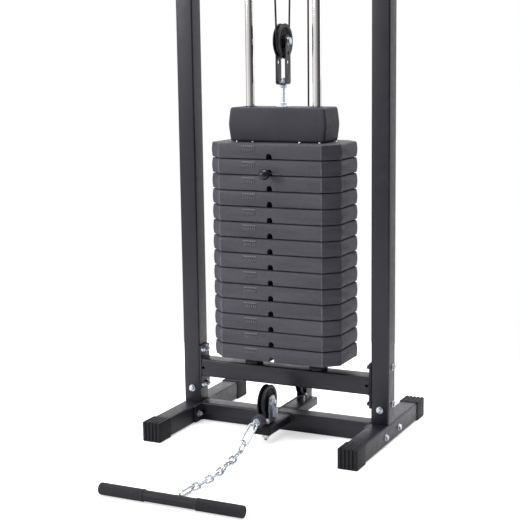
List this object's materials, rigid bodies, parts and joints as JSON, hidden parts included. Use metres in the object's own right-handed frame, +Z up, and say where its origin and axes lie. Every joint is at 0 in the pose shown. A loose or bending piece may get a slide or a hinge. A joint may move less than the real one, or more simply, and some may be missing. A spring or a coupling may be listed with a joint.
{
  "type": "lat pulldown machine",
  "caption": "Lat pulldown and low row machine: a tube frame with a guided, pin-selected weight stack, a lat bar on an overhead cable and a short bar on a floor chain.",
  "frame": {"origin": "middle of the machine's footprint on the floor, with the short bar and chain lying in front of it", "axes": "+Z up; +Y to the rear, away from the user; +X to the right as the user faces the weight stack"},
  "size_m": [1.1842, 0.922, 2.0903],
  "materials": {
    "frame_paint": "satin",
    "cap_plastic": "satin",
    "plate_shell": "matte",
    "chrome": "polished",
    "zinc": "satin",
    "pulley_nylon": "satin",
    "cable_coat": "gloss",
    "rubber": "matte"
  },
  "bodies": {
    "frame": {"foot_left": "frame_paint", "foot_right": "frame_paint", "foot_cap_left_front": "cap_plastic", "foot_cap_left_rear": "cap_plastic", "foot_cap_right_front": "cap_plastic", "foot_cap_right_rear": "cap_plastic", "upright_left": "frame_paint", "upright_right": "frame_paint", "lower_cross_tube": "frame_paint", "upper_crossbar": "frame_paint", "top_crossbar": "frame_paint", "top_beam": "frame_paint", "guide_rod_left": "chrome", "guide_rod_right": "chrome", "bumper_left": "rubber", "bumper_right": "rubber", "weight_plate_03": "plate_shell", "weight_plate_04": "plate_shell", "weight_plate_05": "plate_shell", "weight_plate_06": "plate_shell", "weight_plate_07": "plate_shell", "weight_plate_08": "plate_shell", "weight_plate_09": "plate_shell", "weight_plate_10": "plate_shell", "weight_plate_11": "plate_shell", "weight_plate_12": "plate_shell", "weight_plate_13": "plate_shell", "weight_plate_14": "plate_shell", "low_front_bracket": "zinc", "cable_over_top": "cable_coat", "cable_behind_stack": "cable_coat", "cable_run_front": "cable_coat", "cable_run_rear": "cable_coat", "cable_run_lat": "cable_coat", "cable_run_low": "cable_coat"},
    "carriage": {"top_block": "plate_shell", "selector_stem": "chrome", "weight_plate_01": "plate_shell", "weight_plate_02": "plate_shell", "floating_bracket": "frame_paint", "cable_under_floating_pulley": "cable_coat"},
    "floating_pulley": {"floating_pulley": "pulley_nylon"},
    "selector_pin": {"selector_pin": "cap_plastic"},
    "top_front_pulley": {"top_front_pulley": "pulley_nylon"},
    "top_middle_pulley": {"top_middle_pulley": "pulley_nylon"},
    "top_rear_pulley": {"top_rear_pulley": "pulley_nylon"},
    "low_rear_pulley": {"low_rear_pulley": "pulley_nylon"},
    "low_front_pulley": {"low_front_pulley": "pulley_nylon"},
    "lat_handle": {"lat_cable_stop": "rubber", "lat_carabiner": "zinc"},
    "lat_carabiner_gate": {"lat_carabiner_gate": "zinc"},
    "lat_bar": {"lat_bar": "frame_paint"},
    "low_handle": {"low_cable_stop": "rubber", "low_carabiner": "zinc", "chain": "zinc", "bar_carabiner": "zinc"},
    "low_carabiner_gate": {"low_carabiner_gate": "zinc"},
    "bar_carabiner_gate": {"bar_carabiner_gate": "zinc"},
    "short_bar": {"short_bar": "rubber"}
  },
  "joints": [
    {"name": "carriage_lift", "type": "slide", "parent": "frame", "child": "carriage", "axis": [0, 0, 1], "range_m": [0, 0.5], "deforming": ["cable_run_front", "cable_run_rear"]},
    {"name": "selector_pin_pull", "type": "slide", "parent": "carriage", "child": "selector_pin", "axis": [0, -1, 0], "range_m": [0, 0.115]},
    {"name": "lat_bar_pull", "type": "slide", "parent": "frame", "child": "lat_handle", "axis": [0, 0, -1], "range_m": [0, 1], "deforming": ["cable_run_lat"]},
    {"name": "lat_bar_tilt", "type": "hinge", "parent": "lat_handle", "child": "lat_bar", "pos_m": [0, -0.233, 1.8121], "axis": [0, 1, 0], "range_deg": [-25, 25]},
    {"name": "low_row_pull", "type": "slide", "parent": "frame", "child": "low_handle", "axis": [0, -1, 0], "range_m": [0, 0.9], "deforming": ["cable_run_low"]},
    {"name": "short_bar_swivel", "type": "hinge", "parent": "low_handle", "child": "short_bar", "pos_m": [0.006, -0.421, 0.015], "axis": [0, 0, 1], "range_deg": [-20, 20]},
    {"name": "floating_pulley_spin", "type": "hinge", "parent": "carriage", "child": "floating_pulley", "pos_m": [0, 0.196, 1.05], "axis": [1, 0, 0], "continuous": true},
    {"name": "top_front_pulley_spin", "type": "hinge", "parent": "frame", "child": "top_front_pulley", "pos_m": [0, -0.194, 1.98], "axis": [1, 0, 0], "continuous": true},
    {"name": "top_middle_pulley_spin", "type": "hinge", "parent": "frame", "child": "top_middle_pulley", "pos_m": [0, 0.064, 1.98], "axis": [1, 0, 0], "continuous": true},
    {"name": "top_rear_pulley_spin", "type": "hinge", "parent": "frame", "child": "top_rear_pulley", "pos_m": [0, 0.328, 1.98], "axis": [1, 0, 0], "continuous": true},
    {"name": "low_rear_pulley_spin", "type": "hinge", "parent": "frame", "child": "low_rear_pulley", "pos_m": [0, 0.318, 0.109], "axis": [1, 0, 0], "continuous": true},
    {"name": "low_front_pulley_spin", "type": "hinge", "parent": "frame", "child": "low_front_pulley", "pos_m": [0, 0.074, 0.109], "axis": [1, 0, 0], "continuous": true},
    {"name": "lat_carabiner_gate_hinge", "type": "hinge", "parent": "lat_handle", "child": "lat_carabiner_gate", "pos_m": [0, -0.243, 1.8323], "axis": [-1, 0, 0], "range_deg": [0, 20], "stiffness_Nm_per_rad": 0.05, "springref_deg": -20.05},
    {"name": "low_carabiner_gate_hinge", "type": "hinge", "parent": "low_handle", "child": "low_carabiner_gate", "pos_m": [0.00766, -0.04754, 0.04112], "axis": [0.2588, -0.45, 0.8547], "range_deg": [0, 20], "stiffness_Nm_per_rad": 0.05, "springref_deg": -20.05},
    {"name": "bar_carabiner_gate_hinge", "type": "hinge", "parent": "low_handle", "child": "bar_carabiner_gate", "pos_m": [0.01069, -0.36689, 0.02164], "axis": [0.8829, -0.019, -0.4691], "range_deg": [0, 20], "stiffness_Nm_per_rad": 0.05, "springref_deg": -20.05}
  ],
  "couplings": [
    {"joint": "lat_bar_pull", "follows": "carriage_lift", "ratio": 2},
    {"joint": "floating_pulley_spin", "follows": "carriage_lift", "rad_per_m": -25.641},
    {"joint": "top_front_pulley_spin", "follows": "carriage_lift", "rad_per_m": 51.282},
    {"joint": "top_middle_pulley_spin", "follows": "carriage_lift", "rad_per_m": 51.282},
    {"joint": "top_rear_pulley_spin", "follows": "low_row_pull", "rad_per_m": -25.641},
    {"joint": "low_rear_pulley_spin", "follows": "low_row_pull", "rad_per_m": -25.641},
    {"joint": "low_front_pulley_spin", "follows": "low_row_pull", "rad_per_m": -25.641}
  ]
}
